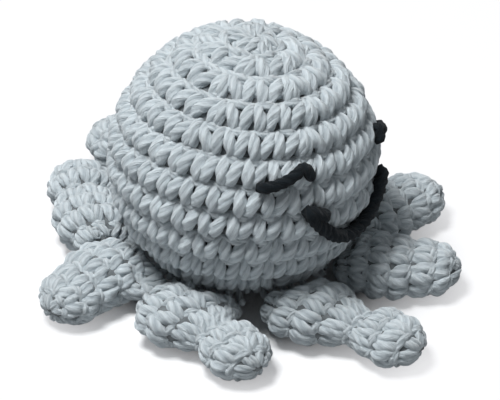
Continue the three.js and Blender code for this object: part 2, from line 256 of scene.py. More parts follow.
class Term:
    """A socket of a shader's node tree, so that maths on it is written as plain Python."""

    def __init__(self, finish, socket):
        self.finish = finish
        self.socket = socket

    def math(self, operation, *others):
        values = dict(enumerate([self, *others]))
        return self.finish.node("ShaderNodeMath", {"operation": operation}, values)[0]

    def clamped(self):
        """The value, no lower than 0 and no higher than 1."""
        return self.math("MAXIMUM", 0.0).math("MINIMUM", 1.0)

    def __add__(self, other):
        return self.math("ADD", other)

    def __sub__(self, other):
        return self.math("SUBTRACT", other)

    def __mul__(self, other):
        return self.math("MULTIPLY", other)

    def __truediv__(self, other):
        return self.math("DIVIDE", other)

    def __pow__(self, other):
        return self.math("POWER", other)


class Outputs:
    """The outputs of one node, by number or name, each as a Term."""

    def __init__(self, finish, node):
        self.finish = finish
        self.node = node

    def __getitem__(self, key):
        return Term(self.finish, self.node.outputs[key])


class Finish:
    """The node tree of a material, or of the world, under construction."""

    def __init__(self, owner):
        self.owner = owner
        owner.use_nodes = True
        self.tree = owner.node_tree
        self.tree.nodes.clear()

    def node(self, kind, settings=None, sockets=None):
        """A node of this kind: first its settings, then the values or links of its sockets."""
        node = self.tree.nodes.new(kind)
        for name, value in (settings or {}).items():
            setattr(node, name, value)
        for key, value in (sockets or {}).items():
            if isinstance(value, Term):
                self.tree.links.new(value.socket, node.inputs[key])
            else:
                node.inputs[key].default_value = value
        return Outputs(self, node)

    def mix(self, factor, first, second):
        """Colour between two colours."""
        ends = [value if isinstance(value, Term) else (*value, 1) for value in (first, second)]
        return self.node("ShaderNodeMix", {"data_type": "RGBA"}, {0: factor, 6: ends[0], 7: ends[1]})[2]

    def place(self):
        """Where a point lies in the toy."""
        return self.node("ShaderNodeTexCoord")["Object"]

    def lie(self):
        """Where a point lies on its yarn or cloth: the share of the way round, and along in millimetres."""
        lie = self.node("ShaderNodeUVMap", {"uv_map": "yarn"})["UV"]
        parts = self.node("ShaderNodeSeparateXYZ", {}, {"Vector": lie})
        return parts["X"], parts["Y"]

    def seen(self):
        """1 where the camera or a mirrored or refracted ray looks, and 0 for the light on the toy."""
        path = self.node("ShaderNodeLightPath")
        direct = path["Is Camera Ray"].math("MAXIMUM", path["Is Glossy Ray"])
        return direct.math("MAXIMUM", path["Is Transmission Ray"])

    def noise(self, scale, detail, where):
        sockets = {"Vector": where, "Scale": scale, "Detail": detail}
        return self.node("ShaderNodeTexNoise", {}, sockets)["Fac"]

    def bump(self, height, distance):
        sockets = {"Height": height, "Distance": distance, "Strength": 1.0}
        return self.node("ShaderNodeBump", {}, sockets)["Normal"]

    def blend(self, factor, first, second):
        """Shader between two shaders."""
        return self.node("ShaderNodeMixShader", {}, {0: factor, 1: first, 2: second})["Shader"]

    def surface(self, shader, output="ShaderNodeOutputMaterial"):
        self.node(output, {}, {"Surface": shader})
        return self.owner

    def cloth(self, base, normal, roughness, sheen):
        """A matt textile surface."""
        shader = self.node("ShaderNodeBsdfPrincipled", {}, {
            "Base Color": base, "Normal": normal, "Roughness": roughness, "Sheen Weight": sheen,
            "Sheen Roughness": 0.5, "Specular IOR Level": 0.12,
        })
        return self.surface(shader["BSDF"])


def dyed(tint, strength):
    """The colour, paler where the strength is more than 1 and darker where it is less."""
    return [min(1, c * strength) for c in tint]


def yarn_finish(name, tint, groove, sheen):
    """Twisted cotton: plies with painted shade in the grooves between them, fine fibres that follow the
    plies, and uneven dye.
    """
    yarn = bpy.context.scene.octopus_yarn
    finish = Finish(bpy.data.materials.new(name))
    around, along = finish.lie()
    tone = finish.node("ShaderNodeAttribute", {"attribute_name": "tone"})["Fac"]
    turn = around - along / (yarn.twist / MM)
    ply = (turn * (2 * math.pi * yarn.plies)).math("COSINE") * 0.5 + 0.5

    def streaks(across, down, shift, detail):
        """Streaks that lie along the plies, so many round the yarn and so many a millimetre."""
        places = {"X": turn * across, "Y": along * down, "Z": tone * shift}
        return finish.noise(1.0, detail, finish.node("ShaderNodeCombineXYZ", {}, places)["Vector"])

    fibre = streaks(26, 0.5, 37, 4.0)
    hair = streaks(70, 1.6, 91, 2.0)
    dye = finish.noise(140.0, 2.0, finish.place())
    # Painted shade: the colour darkens to the groove colour where the plies meet, and fibre streaks vary it
    shade = finish.mix((ply ** 0.55) * 0.6 + fibre * 0.7, groove, tint)
    light = (tone - 0.5) * 0.14 + (dye - 0.5) * 0.16 + (hair - 0.5) * 0.5
    base = finish.mix((light + 0.05).math("MAXIMUM", 0.0) * 3.0, shade, dyed(tint, 1.25))
    height = ply * 0.4 + fibre * 0.9 + hair * 0.7
    normal = finish.bump(height, 0.4 * MM)
    return finish.cloth(base, normal, 0.95, sheen)


def painted_shade_backing_finish(name, tint):
    """The inside of the crocheted cover, a close tangle of yarn, coloured as painted shade: the yarn's colour
    darkened to a third and to a sixth.
    """
    finish = Finish(bpy.data.materials.new(name))
    where = finish.place()
    cells = finish.node("ShaderNodeTexVoronoi", {}, {"Vector": where, "Scale": 520.0})["Distance"]
    strands = finish.noise(900.0, 3.0, where)
    # Painted shade: the yarn's colour darkened to a third and to a sixth
    base = finish.mix(cells + strands * 0.4, dyed(tint, 0.34), dyed(tint, 0.16))
    normal = finish.bump(strands - cells, 0.3 * MM)
    return finish.cloth(base, normal, 0.95, 0.1)


def fibre_finish(name, tint):
    """Loose white polyester fibre."""
    finish = Finish(bpy.data.materials.new(name))
    where = finish.place()
    flat = finish.node("ShaderNodeVectorMath", {"operation": "MULTIPLY"}, {0: where, 1: (1, 1, 6)})
    wisps = finish.noise(420.0, 5.0, flat["Vector"])
    clumps = finish.noise(130.0, 3.0, where)
    base = finish.mix(wisps * 0.6 + clumps * 0.4, dyed(tint, 0.78), tint)
    normal = finish.bump(wisps + clumps * 0.6, 0.5 * MM)
    return finish.cloth(base, normal, 0.9, 0.4)


def pouch_finish(name, tint):
    """Plain-woven cotton, one thread over, one under."""
    threads_round, threads_per_mm = 90, 1.6
    finish = Finish(bpy.data.materials.new(name))
    around, along = finish.lie()
    across = (around * (2 * math.pi * threads_round)).math("SINE")
    down = (along * (2 * math.pi * threads_per_mm)).math("SINE")
    weave = across * down * 0.5 + 0.5
    slub = finish.noise(600.0, 3.0, finish.place())
    base = finish.mix(weave * 0.7 + slub * 0.3, dyed(tint, 0.72), tint)
    normal = finish.bump(weave + slub * 0.4, 0.12 * MM)
    return finish.cloth(base, normal, 0.88, 0.2)


def herb_finish(name, tint):
    """Crumbled dried leaf, olive with browner bits."""
    finish = Finish(bpy.data.materials.new(name))
    where = finish.place()
    bits = finish.node("ShaderNodeTexVoronoi", {}, {"Vector": where, "Scale": 700.0})["Color"]
    bit = finish.node("ShaderNodeSeparateColor", {}, {"Color": bits})["Red"]
    veins = finish.noise(1500.0, 4.0, where)
    browner = (tint[0] * 0.9, tint[1] * 0.62, tint[2] * 0.5)
    base = finish.mix(bit, browner, dyed(tint, 1.15))
    normal = finish.bump(veins + bit * 0.5, 0.2 * MM)
    return finish.cloth(base, normal, 0.85, 0.05)


def material(name, make, *details):
    """The material of this name, made at its first use."""
    return bpy.data.materials.get(name) or make(name, *details)


def yarn_material():
    yarn = bpy.context.scene.octopus_yarn
    return material("cotton_yarn", yarn_finish, yarn.colour, yarn.groove, yarn.sheen)


def painted_shade_backing_material():
    return material("cover_inside", painted_shade_backing_finish, bpy.context.scene.octopus_yarn.colour)


def filling_material():
    return material("loose_filling", fibre_finish, bpy.context.scene.octopus_inside.filling)


# Stuffed forms

def eased(value, low, high):
    """0 up to low, 1 from high on, and smooth between them."""
    t = np.clip((value - low) / (high - low), 0, 1)
    return t * t * (3 - 2 * t)


def unit(vectors):
    """The same directions, each one long."""
    return vectors / np.maximum(np.linalg.norm(vectors, axis=-1, keepdims=True), 1e-12)


def pressed(points):
    """Points with everything that is near or under the floor pressed softly flat onto it."""
    near = points[..., 2] < PRESS
    height = np.where(near, PRESS * np.exp(points[..., 2] / PRESS - 1), points[..., 2])
    return np.concatenate([points[..., :2], height[..., None]], axis=-1)


def lumps(points, height, size):
    """Soft rises and hollows, the same for every point at one place."""
    x, y, z = (points[..., i] / size for i in range(3))
    wave = (
        np.sin(x + 1.7 * np.sin(0.8 * y))
        + np.sin(1.3 * y + 1.1 * np.sin(z))
        + np.sin(1.1 * z + 1.9 * np.sin(0.7 * x))
    )
    return height * wave / 3


class Form:
    """The outer skin of a stuffed form: rows of points once round it, from one closed end to the other."""

    def __init__(self, rows):
        self.points = rows
        across = np.roll(rows, -1, axis=1) - np.roll(rows, 1, axis=1)
        down = np.gradient(rows, axis=0)
        normals = unit(np.cross(down, across))
        # The first and the last row take the mean of the normals beside them, as a closed end does
        normals[0] = unit(normals[1].mean(axis=0))
        normals[-1] = unit(normals[-2].mean(axis=0))
        middle = rows.mean(axis=(0, 1))
        if ((rows - middle) * normals).sum() < 0:
            normals = -normals
        self.normals = normals
        self.girth = np.linalg.norm(np.roll(rows, -1, axis=1) - rows, axis=2).sum(axis=1)

    def sampled(self, grid, along, turn):
        """What the grid of points or normals holds there, evened out between its rows and columns."""
        rows, columns = grid.shape[0] - 1, grid.shape[1]
        down = np.clip(along, 0, 1) * rows
        across = (turn % 1.0) * columns
        i = np.minimum(down.astype(int), rows - 1)
        j = across.astype(int) % columns
        a, b = (down - i)[..., None], (across - np.floor(across))[..., None]
        k = (j + 1) % columns
        top = grid[i, j] * (1 - b) + grid[i, k] * b
        low = grid[i + 1, j] * (1 - b) + grid[i + 1, k] * b
        return top * (1 - a) + low * a

    def at(self, along, turn, out):
        """Points at a share of the way along and of the way round, this far above the skin."""
        normal = unit(self.sampled(self.normals, along, turn))
        return self.sampled(self.points, along, turn) + normal * np.asarray(out)[..., None], normal

    def girth_at(self, along):
        """How far it is once round, at a share of the way along."""
        return np.interp(along, np.linspace(0, 1, len(self.girth)), self.girth)


def ball_middle(ball):
    """The middle of the round ball, before its sole is pressed flat."""
    return np.array([0, 0, ball.diameter / 2 - ball.sole])


def ball_form(ball):
    """The ball, leaning from its crown to its waist and upright where it stands."""
    rows, columns = 180, 240
    waist, foot = math.radians(100), math.radians(165)
    polar = np.linspace(0, math.pi, rows + 1)[:, None]
    compass = -2 * math.pi * np.arange(columns)[None, :] / columns
    flat = np.stack(np.broadcast_arrays(
        np.sin(polar) * np.cos(compass), np.sin(polar) * np.sin(compass), np.cos(polar)
    ), axis=-1)
    lean = ball.lean * (1 - eased(polar, waist, foot))[..., None]
    towards = np.array([math.cos(ball.lean_towards), math.sin(ball.lean_towards), 0])
    axis = np.cross((0, 0, 1), towards)
    turned = (
        flat * np.cos(lean)
        + np.cross(axis, flat) * np.sin(lean)
        + axis * (flat @ axis)[..., None] * (1 - np.cos(lean))
    )
    points = turned * ball.diameter / 2 + ball_middle(ball)
    points = points + turned * lumps(points, ball.unevenness, ball.lump_size)[..., None]
    return Form(pressed(points))


def hermite(start, end, leave, arrive, steps):
    """Points on a smooth curve between two points, leaving and arriving in the given directions."""
    t = np.linspace(0, 1, steps, endpoint=False)[:, None]
    return (
        start * (2 * t ** 3 - 3 * t ** 2 + 1)
        + leave * (t ** 3 - 2 * t ** 2 + t)
        + end * (3 * t ** 2 - 2 * t ** 3)
        + arrive * (t ** 3 - t ** 2)
    )


def heading(turn):
    """The level direction of this compass angle."""
    return np.array([math.cos(turn), math.sin(turn), 0])


class ArmPlaces:
    """Where one arm's root, pad and toe lie, worked out from its hinge as the solids are."""

    def __init__(self, arm, arms, ball):
        joint = next(j for j in frame["joints"] if j["name"] == f"arm_{arm}_lift")
        pad_turn, lie, toe_turn, pad_share, toe_share = ARM_LIES[arm]
        self.root = np.array(joint["pos_m"])
        self.azimuth = math.atan2(self.root[1], self.root[0])
        self.pad_heading = self.azimuth + math.radians(pad_turn)
        self.toe_heading = self.pad_heading + math.radians(toe_turn)
        self.lie = self.azimuth + math.radians(lie)
        self.pad = self.root + heading(self.pad_heading) * arms.pad_reach * pad_share
        self.toe = self.pad + heading(self.toe_heading) * arms.toe_reach * toe_share
        self.pad[2] = arms.pad_thickness / 2 - ball.sole
        self.toe[2] = arms.toe_thickness / 2 - ball.sole
        self.lifts = [0, *(math.radians(limit) for limit in joint["range_deg"])]
        # The pad and the toe: the middle, the way it lies, and its length, width and thickness
        self.mounds = (
            (self.pad, self.lie, (arms.pad_length, arms.pad_width, arms.pad_thickness)),
            (self.toe, self.toe_heading, (arms.toe_length, arms.toe_width, arms.toe_thickness)),
        )

    def lifted(self, points, lift):
        """The points as they lie once the arm has lifted by this angle."""
        side = np.cross(heading(self.azimuth), (0, 0, 1))
        arm = points - self.root
        along = (arm @ side)[..., None] * side
        return self.root + along + (arm - along) * math.cos(lift) + np.cross(side, arm) * math.sin(lift)


def egg(places, middle, long, wide):
    """Half-width of an egg of this length and width at places along its axis, and nothing beyond its ends."""
    off = (places - middle) / (long / 2)
    within = np.abs(off) < 1 + 1e-6
    return np.where(within, wide / 2 * np.sqrt(np.maximum(1 - off ** 2, 0)), -np.inf)


def greatest(rows, softness):
    """The greatest of several rows of lengths, rounded over where two are alike."""
    return softness * np.log(sum(np.exp(row / softness) for row in rows))


def run_down(rows):
    """How far along a skin each of its rows lies."""
    return np.concatenate([[0], np.cumsum(np.linalg.norm(np.diff(rows, axis=0), axis=2).mean(axis=1))])


def even_rows(points, count):
    """The same skin with its rows evenly spaced along it."""
    measure = run_down(points)
    wanted = np.linspace(0, measure[-1], count)
    after = np.clip(np.searchsorted(measure, wanted), 1, len(measure) - 1)
    t = ((wanted - measure[after - 1]) / (measure[after] - measure[after - 1]))[:, None, None]
    return points[after - 1] * (1 - t) + points[after] * t


def run_along(line):
    """How far along the line each of its points lies."""
    return np.concatenate([[0], np.cumsum(np.linalg.norm(np.diff(line, axis=0), axis=1))])


def ring(centre, side, half_width, half_height, columns):
    """One upright oval of evenly spaced points round a centre."""
    around = 2 * math.pi * np.linspace(0, 1, 4 * columns, endpoint=False)
    points = centre + side * (half_width * np.cos(around))[:, None]
    points[:, 2] += half_height * np.sin(around)
    closed = np.concatenate([points, points[:1]])
    measure = run_along(closed)
    wanted = np.linspace(0, measure[-1], columns, endpoint=False)
    return np.stack([np.interp(wanted, measure, closed[:, k]) for k in range(3)], axis=1)


def arm_form(places, arms):
    """The pad, knuckle and toe of an arm as one stuffed tube, from its toe's tip to the pad's far side."""
    steps, columns = 240, 160
    grown = 2 * arms.plump
    step = np.linalg.norm((places.toe - places.pad)[:2])
    turn = places.lie - places.toe_heading
    half_long, half_wide = (arms.pad_length + grown) / 2, (arms.pad_width + grown) / 2
    # The pad may lie aslant, so its two sides slew along the line from it to the toe
    span = math.hypot(half_long * math.cos(turn), half_wide * math.sin(turn))
    slew = (half_long ** 2 - half_wide ** 2) * math.sin(turn) * math.cos(turn) / span ** 2
    tip = step + (arms.toe_length + grown) / 2
    run = tip - (tip + span) * (1 - np.cos(np.linspace(0, math.pi, steps))) / 2

    def sections(pad_size, knuckle_size, toe_size):
        return (
            egg(run, 0, 2 * span, pad_size),
            egg(run, step / 2, arms.knuckle_length, knuckle_size),
            egg(run, step, arms.toe_length + grown, toe_size + grown),
        )

    pad, knuckle, toe = sections(2 * half_long * half_wide / span, arms.knuckle_width, arms.toe_width)
    left = greatest([pad + slew * run, knuckle, toe], arms.crease)
    right = greatest([pad - slew * run, knuckle, toe], arms.crease)
    thickness = sections(arms.pad_thickness + grown, arms.knuckle_thickness, arms.toe_thickness)
    half_height = greatest(thickness, arms.crease)
    ahead, side = heading(places.toe_heading), heading(places.toe_heading + math.pi / 2)
    height = np.interp(run, (0, step), (places.pad[2], places.toe[2]))
    rows = []
    for i in range(steps):
        centre = places.pad * (1, 1, 0) + ahead * run[i] + side * (left[i] - right[i]) / 2
        centre[2] = height[i]
        rows.append(ring(centre, side, (left[i] + right[i]) / 2, half_height[i], columns))
    points = np.array(rows)
    middle = points.mean(axis=1, keepdims=True)
    return points + unit(points - middle) * lumps(points, arms.unevenness, arms.lump_size)[..., None]


def swept(line, sections):
    """Rows once round a lying line, from end to end: sections gives half-width and half-height by run."""
    steps, columns = 240, 96
    run = run_along(line)
    even = run[-1] * (1 - np.cos(np.linspace(0, math.pi, steps))) / 2
    line = np.stack([np.interp(even, run, line[:, i]) for i in range(3)], axis=1)
    half_width, half_height = sections(even)
    ahead = unit(np.gradient(line, axis=0))
    side = unit(np.stack([-ahead[:, 1], ahead[:, 0], np.zeros(len(ahead))], axis=1))
    return np.array([ring(line[i], side[i], half_width[i], half_height[i], columns) for i in range(steps)])


def root_form(places, arms):
    """The flat tongue from inside the pad to the pinched root, which is sewn to the ball."""
    steps, root, pad = 40, places.root, places.pad
    half = arms.root_thickness / 2
    back = root - heading(places.azimuth) * half
    reach = np.linalg.norm(pad - root)
    line = np.concatenate([
        hermite(pad, root, -heading(places.pad_heading) * reach, -heading(places.azimuth) * reach, steps),
        hermite(root, back, back - root, back - root, steps),
        back[None, :],
    ])
    root_at = run_along(line)[steps]

    def sections(run):
        closing = np.sqrt(np.clip(1 - (np.maximum(run - root_at, 0) / half) ** 2, 0, 1))
        narrow = 1 - 0.25 * eased(root_at - run, 0, 5 * MM)
        return arms.root_width / 2 * closing * narrow, half * closing * (0.94 + 0.06 * narrow)

    return pressed(swept(line, sections))


def dished(points, places, ball, clear):
    """Points pushed clear of the space that the ball takes with the arm at rest or at a limit of its lift."""
    for lift in places.lifts:
        middle = places.lifted(ball_middle(ball), -lift)
        reach = np.linalg.norm(points - middle, axis=-1, keepdims=True)
        points = middle + (points - middle) * np.maximum(1, (ball.diameter / 2 + clear) / reach)
    return points


def parted(points, places, other, clear):
    """Points pushed clear of another arm's pad and toe, with both arms at rest or at the same limit."""
    for lift in places.lifts:
        seen = other.lifted(places.lifted(points, lift), -lift)
        for middle, lie, sizes in other.mounds:
            axes = np.stack([heading(lie), heading(lie + math.pi / 2), (0, 0, 1)], axis=1)
            halves = np.array(sizes) / 2 + clear
            reach = np.linalg.norm((seen - middle) @ axes / halves, axis=-1, keepdims=True)
            seen = middle + (seen - middle) * np.maximum(1, 1 / reach)
        points = places.lifted(other.lifted(seen, lift), -lift)
    return points


# Yarn and meshes

class Strands:
    """Many lengths of yarn, each a row of as many centres, with their outward side and radius.

    Each length has its own phase, where its twist begins, and its own tone, how pale it is."""

    def __init__(self, centres, outward, radii, phase, tone):
        self.centres = centres
        self.outward = np.broadcast_to(outward, centres.shape)
        self.radii = np.broadcast_to(radii, centres.shape[:2])
        self.phase = np.broadcast_to(phase, len(centres))
        self.tone = np.broadcast_to(tone, len(centres))


def varied(random, centres, outward, radii):
    """Lengths of yarn whose phase and tone are drawn at random."""
    return Strands(centres, outward, radii, random.random(len(centres)), random.random(len(centres)))


def corner_places(left, right, start, end):
    """Where each face's four corners lie: the share of the way round, and along in millimetres."""
    return np.stack([
        np.stack([left, right, right, left], axis=-1),
        np.stack([start, start, end, end], axis=-1),
    ], axis=-1).reshape(-1, 2)


def grid_faces(index):
    """The corners of faces over grids of point numbers, each grid closed round and open at both ends."""
    after = np.roll(index, -1, axis=2)
    return np.stack([index[:, :-1], after[:, :-1], after[:, 1:], index[:, 1:]], axis=-1).reshape(-1, 4)


def strand_mesh(name, groups, sides, plies, twist, ply_depth):
    """One mesh of closed lengths of twisted yarn, with where each point lies on its yarn kept as UV."""
    points, quads, caps, uvs, tones, first = [], [], [], [], [], 0
    for group in groups:
        count, steps = group.centres.shape[:2]
        ahead = unit(np.gradient(group.centres, axis=1))
        side = unit(np.cross(group.outward, ahead))
        up = np.cross(ahead, side)
        paces = np.linalg.norm(np.diff(group.centres, axis=1), axis=2)
        run = np.concatenate([np.zeros((count, 1)), np.cumsum(paces, axis=1)], axis=1)
        run = run + (group.phase * twist)[:, None]
        share_round = np.arange(sides) / sides
        turn = 2 * math.pi * (share_round - 0.25)
        ply = np.cos(plies * 2 * math.pi * (share_round[None, None, :] - (run / twist)[..., None]))
        reach = group.radii[..., None] * (1 - ply_depth * (1 - ply) / 2)
        skin = (
            group.centres[:, :, None, :]
            + side[:, :, None, :] * (reach * np.cos(turn))[..., None]
            + up[:, :, None, :] * (reach * np.sin(turn))[..., None]
        )
        points.append(skin.reshape(-1, 3))
        index = first + np.arange(count * steps * sides).reshape(count, steps, sides)
        quads.append(grid_faces(index))
        caps.append(np.concatenate([index[:, 0, ::-1], index[:, -1]]))
        left = np.broadcast_to(share_round, (count, steps - 1, sides))
        along = np.broadcast_to((run / MM)[..., None], (count, steps, sides))
        uvs.append(corner_places(left, left + 1 / sides, along[:, :-1], along[:, 1:]))
        tones.append(np.repeat(group.tone, steps * sides))
        first += count * steps * sides
    points, quads, caps = np.concatenate(points), np.concatenate(quads), np.concatenate(caps)
    loops = np.concatenate([quads.ravel(), caps.ravel()])
    sizes = np.concatenate([np.full(len(quads), 4), np.full(len(caps), sides)])
    uv = np.concatenate([np.concatenate(uvs), np.zeros((caps.size, 2))])
    return filled_mesh(name, points, loops, sizes, uv, np.concatenate(tones))


def filled_mesh(name, points, loops, sizes, uv, tone):
    """A mesh object from plain arrays."""
    mesh = bpy.data.meshes.new(name)
    mesh.vertices.add(len(points))
    mesh.vertices.foreach_set("co", np.ascontiguousarray(points, np.float32).ravel())
    mesh.loops.add(len(loops))
    mesh.loops.foreach_set("vertex_index", loops.astype(np.int32))
    mesh.polygons.add(len(sizes))
    mesh.polygons.foreach_set("loop_start", np.concatenate([[0], np.cumsum(sizes)[:-1]]).astype(np.int32))
    mesh.polygons.foreach_set("use_smooth", np.ones(len(sizes), bool))
    layer = mesh.uv_layers.new(name="yarn")
    layer.data.foreach_set("uv", np.ascontiguousarray(uv, np.float32).ravel())
    tones = mesh.attributes.new("tone", "FLOAT", "POINT")
    tones.data.foreach_set("value", np.ascontiguousarray(tone, np.float32))
    mesh.update(calc_edges=True)
    mesh.validate()
    piece = bpy.data.objects.new(name, mesh)
    bpy.context.scene.collection.objects.link(piece)
    return piece


def skin_mesh(name, skins):
    """One mesh of closed skins, each rows of points that go once round, capped at both ends."""
    points, quads, caps, uvs, first = [], [], [], [], 0
    for rows in skins:
        count, columns = rows.shape[:2]
        index = first + np.arange(count * columns).reshape(1, count, columns)
        quads.append(grid_faces(index))
        caps += [index[0, 0, ::-1], index[0, -1]]
        run = run_down(rows) / MM
        down, across = np.divmod(np.arange((count - 1) * columns), columns)
        uvs.append(corner_places(across / columns, (across + 1) / columns, run[down], run[down + 1]))
        points.append(rows.reshape(-1, 3))
        first += count * columns
    quads = np.concatenate(quads)
    loops = np.concatenate([quads.ravel(), *caps])
    sizes = np.concatenate([np.full(len(quads), 4), [len(cap) for cap in caps]])
    uv = np.concatenate([*uvs, np.zeros((sum(len(cap) for cap in caps), 2))])
    return filled_mesh(name, np.concatenate(points), loops, sizes, uv, np.full(first, 0.5))


def crocheted(form, rounds, yarn, dive, loop_depth, seed, start, drawn_in=0.0):
    """The legs and the loops of every stitch of a form that is worked in a spiral from its first row.

    A stitch shows as two legs in a V that opens towards the next round, its foot in the stitch before, and
    one loop that lies across behind the feet of the next round. start is the share of a round by which
    the work begins early, and drawn_in how much of the last round the closing yarn pulls in."""
    random = np.random.default_rng(seed)
    legs, loops = [], []
    total = len(rounds)
    t = np.linspace(0, 1, 16)[None, :]
    u = np.linspace(-0.62, 0.62, 16)[None, :]
    even = [0, total - 2, total]
    pulled = [0, total - 2, total - drawn_in]
    shift, before = 0.0, None
    for k, count in enumerate(rounds):
        share_round = (np.arange(count) + 0.5) / count
        slant = yarn.slant / count
        foot = top = shift + share_round * (1 + slant)
        # A foot stands mostly in the middle of a stitch of the round before
        if before:
            parent = (np.floor(share_round * before[0]) + 0.5) / before[0]
            foot = (before[1] + parent * (1 + before[2])) * 0.75 + top * 0.25
        begin = k + share_round - 0.5 / count - start
        width = form.girth_at((k + 0.5) / total) / count
        # The first rounds are worked tighter than the rest
        snug = min(1, 0.4 + 0.2 * k)
        radius = min(yarn.width / 2, (0.33 - 0.06 * snug) * width)
        for side in (-1, 1):
            # Every leg differs a little in spread, place, height and turn
            wobble = random.normal(0, 1, (4, count, 1))
            # The V opens from 0.13 of a stitch off its middle at the foot to 0.38 at the top
            spread = (0.13 + 0.25 * t ** 0.9) * (1 + 0.05 * wobble[0])
            turn = foot[:, None] + (top - foot)[:, None] * eased(t, 0, 0.9) + side * spread / count
            along = begin[:, None] - 0.02 + 0.94 * t + 0.02 * wobble[1]
            # A leg is highest and thickest in its middle, and both its ends dive into the work
            hump = np.sin(math.pi * (0.04 + 0.92 * t)) ** 0.8
            out = -radius - dive * snug * (1 - hump) + 0.07 * MM * wobble[2]
            along = np.interp(np.maximum(along, 0.1 + 0.2 * t), even, pulled)
            centres, outward = form.at(along / total, turn + 0.012 * wobble[3] / count, out)
            legs.append(varied(random, centres, outward, radius * (0.78 + 0.26 * np.sin(math.pi * t))))
        along = np.interp(np.minimum(begin[:, None] + 1.0 + 0.12 * u, total - 0.3), even, pulled) / total
        loop_radius = min(yarn.loop_width / 2, (0.4 - 0.18 * snug) * width)
        out = -loop_radius - loop_depth * snug - 0.3 * MM * np.cos(2 * math.pi * u)
        centres, outward = form.at(along, top[:, None] + u / count, out)
        loops.append(varied(random, centres, outward, loop_radius))
        before = count, shift, slant
        shift += slant
    return legs, loops


def yarn_piece(name, groups, sides=14):
    """A piece of the toy's own yarn."""
    yarn = bpy.context.scene.octopus_yarn
    piece = strand_mesh(name, groups, sides, yarn.plies, yarn.twist, yarn.ply_depth)
    return dressed(piece, yarn_material())


def dressed(piece, finish):
    """The piece with its material."""
    piece.data.materials.append(finish)
    return piece


def inset(form, depth):
    """The form's rows moved towards each row's middle, and no further than most of the way."""
    middle = form.points.mean(axis=1, keepdims=True)
    inward = middle - form.points
    reach = np.maximum(np.linalg.norm(inward, axis=-1, keepdims=True), 1e-9)
    return form.points + inward * np.minimum(depth / reach, 0.8)


class BallCover(bpy.types.Operator):
    """Crochet the ball's cover in a spiral from the crown down"""

    bl_idname = "octopus.ball_cover"
    bl_label = "Crochet the ball"

    def execute(self, context):
        yarn, ball = context.scene.octopus_yarn, context.scene.octopus_ball
        form = ball_form(ball)
        legs, loops = crocheted(form, BALL_ROUNDS, yarn, yarn.dive, yarn.loop_depth, 11, 0.35, ball.drawn_in)
        middle = ball_middle(ball)
        out = unit(form.points[4:-4:3, ::3] - middle)
        outer, inner = (out * (ball.diameter / 2 - depth) + middle for depth in (ball.backing, ball.wall))
        # The cover's inside is a sheet coloured as painted shade, seen through the gaps between the stitches
        backing = skin_mesh("ball_cover_inside", [pressed(outer), inner[::-1]])
        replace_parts(dressed(backing, painted_shade_backing_material()), "head_shell")
        half = len(legs) // 2
        pieces = [
            backing,
            yarn_piece("ball_stitches_upper", legs[:half], 16),
            yarn_piece("ball_stitches_lower", legs[half:], 16),
            yarn_piece("ball_row_loops", [*loops, self.crown_coil(form, yarn)], 10),
        ]
        for piece in pieces:
            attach(piece, "head")
        closing = yarn_piece("closing_yarn_rosette", [self.rosette()])
        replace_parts(closing, "closing_yarn")
        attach(closing, "head")
        return {"FINISHED"}

    def crown_coil(self, form, yarn):
        """The yarn that lies coiled under the first rounds and closes the gaps between their stitches."""
        turns, rounds, depth = 5.5, 2.5, 1.9 * MM
        t = np.sqrt(np.linspace(0.001, 1, 400))
        centres, outward = form.at(t * rounds / len(BALL_ROUNDS), t * turns, -depth)
        return Strands(centres[None], outward, yarn.width / 2, 0, 0.4)

    def rosette(self):
        """The yarn end under the ball, drawn through the six stitches of the last round."""
        count, radius = BALL_ROUNDS[-1], 0.48 * MM
        number = np.arange(count)
        t = np.linspace(0, 1, 18)[None, :]
        arch = np.sin(math.pi * t)
        turn = 2 * math.pi * (number[:, None] + 0.36 * (t - 0.5) * 2 * arch ** 0.4) / count
        reach = (0.5 + 1.45 * arch ** 0.7) * MM
        height = (1.5 - 0.95 * arch ** 0.8) * MM
        centres = np.stack(np.broadcast_arrays(
            reach * np.cos(turn), reach * np.sin(turn), height
        ), axis=-1)
        return Strands(centres, (0, 0, -1), radius, number / count, number / count)


